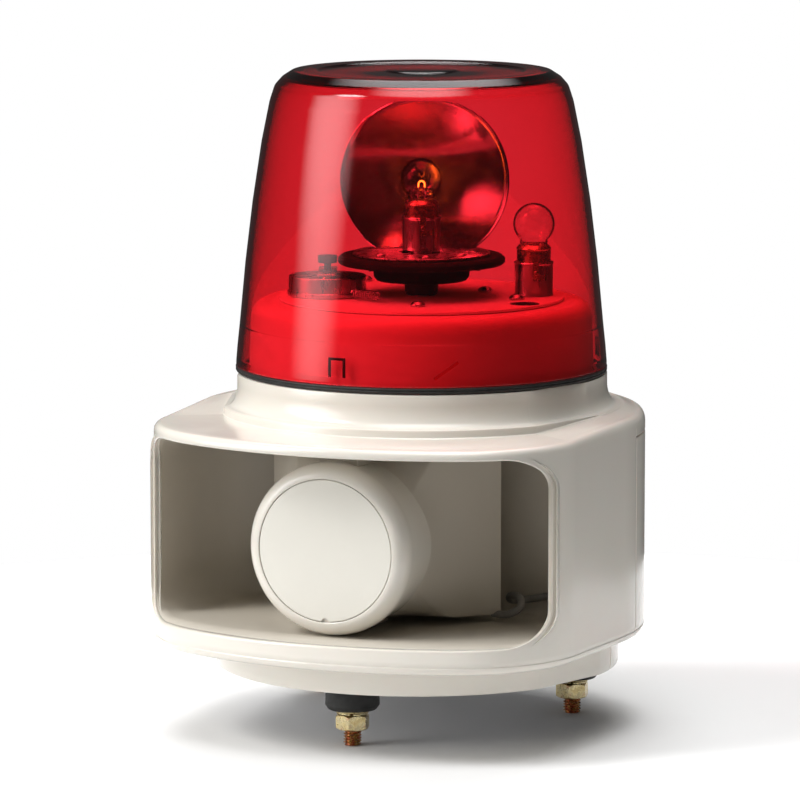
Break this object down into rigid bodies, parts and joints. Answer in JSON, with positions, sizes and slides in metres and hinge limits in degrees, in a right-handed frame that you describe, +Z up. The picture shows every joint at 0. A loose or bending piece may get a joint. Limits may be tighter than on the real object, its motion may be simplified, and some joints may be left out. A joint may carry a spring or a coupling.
{
  "type": "revolving warning light with horn speaker",
  "caption": "Alarm siren: red revolving light under a tapered globe, on an ivory housing with a horn speaker in a wide bowed mouth, on mounting studs with rubber feet.",
  "frame": {"origin": "middle of the three mounting studs, on the panel face that the rubber feet stand on", "axes": "+Z up along the globe's axis, -Y out of the horn mouth, +X to the right as seen facing the back of the object"},
  "size_m": [0.1996, 0.2145, 0.284],
  "materials": {
    "ivory": "glossy moulded plastic, off-white",
    "ivory_liner": "moulded plastic, satin, off-white in the shade of the horn",
    "ivory_disc": "smooth satin disc, no lettering",
    "red_lens": "transparent red polycarbonate",
    "rubber": "matt black",
    "wheel_rubber": "satin black",
    "black_plastic": "satin black",
    "yellow_zinc": "yellow passivated zinc plating",
    "steel": "bright plated steel",
    "mirror": "polished reflector",
    "brass": "nickel-washed brass lamp cap",
    "glass": "clear lamp glass",
    "glow": "glowing filament, emissive",
    "white_plastic": "satin white moulding",
    "green_board": "solder mask",
    "grey_cable": "grey sheath",
    "cone": "phenolic diaphragm",
    "ferrite": "dark sintered or laminated iron"
  },
  "bodies": {
    "housing": {"amplifier_board": "green_board", "base_plate": "steel", "bulb_base": "brass", "bulb_filament": "glow", "bulb_glass": "glass", "bulb_socket": "steel", "cable_grommet": "rubber", "cap_disc": "ivory_disc", "chassis_drum": "white_plastic", "chassis_plate": "steel", "chassis_screw_1": "steel", "chassis_screw_2": "steel", "chassis_screw_3": "steel", "chassis_screw_4": "steel", "cover_screw_1": "steel", "cover_screw_2": "steel", "driver_cap": "ivory", "driver_diaphragm": "cone", "driver_housing": "ivory", "driver_lead": "grey_cable", "driver_magnet": "ferrite", "flat_washer_1": "yellow_zinc", "flat_washer_2": "yellow_zinc", "flat_washer_3": "yellow_zinc", "front_housing": "ivory", "horn_core": "ivory_liner", "horn_liner": "ivory_liner", "lamp_post": "steel", "lead_grommet": "rubber", "motor_bracket": "steel", "motor_can": "steel", "nut_1": "yellow_zinc", "nut_2": "yellow_zinc", "nut_3": "yellow_zinc", "rear_cover": "ivory", "rubber_foot_1": "rubber", "rubber_foot_2": "rubber", "rubber_foot_3": "rubber", "spare_bulb_base": "brass", "spare_bulb_glass": "glass", "spare_bulb_holder": "steel", "spring_washer_1": "yellow_zinc", "spring_washer_2": "yellow_zinc", "spring_washer_3": "yellow_zinc", "stud_1": "yellow_zinc", "stud_2": "yellow_zinc", "stud_3": "yellow_zinc", "terminal_block": "black_plastic", "transformer": "ferrite", "volume_pot": "black_plastic"},
    "rotor": {"rotor_hub": "black_plastic", "drive_wheel": "wheel_rubber", "turntable": "steel", "reflector": "mirror", "reflector_bracket": "steel"},
    "roller": {"motor_roller": "wheel_rubber"},
    "seal": {"seal_ring": "rubber"},
    "globe": {"globe": "red_lens"},
    "volume": {"volume_knob": "white_plastic"}
  },
  "joints": [
    {"name": "rotor_spin", "type": "hinge", "parent": "housing", "child": "rotor", "pos_m": [0, 0.0055, 0.1858], "axis": [0, 0, 1], "continuous": true},
    {"name": "roller_spin", "type": "hinge", "parent": "housing", "child": "roller", "pos_m": [-0.03751, -0.01081, 0.1858], "axis": [0, 0, 1], "continuous": true},
    {"name": "globe_twist", "type": "hinge", "parent": "housing", "child": "seal", "pos_m": [0, 0.0055, 0.1383], "axis": [0, 0, 1], "range_deg": [0, 25]},
    {"name": "globe_lift", "type": "slide", "parent": "seal", "child": "globe", "axis": [0, 0, 1], "range_m": [0, 0.14]},
    {"name": "volume_turn", "type": "hinge", "parent": "housing", "child": "volume", "pos_m": [0.03, 0.0738, 0.0743], "axis": [0, 1, 0], "range_deg": [-135, 135]}
  ],
  "couplings": [
    {"joint": "roller_spin", "follows": "rotor_spin", "ratio": -8.6667}
  ]
}
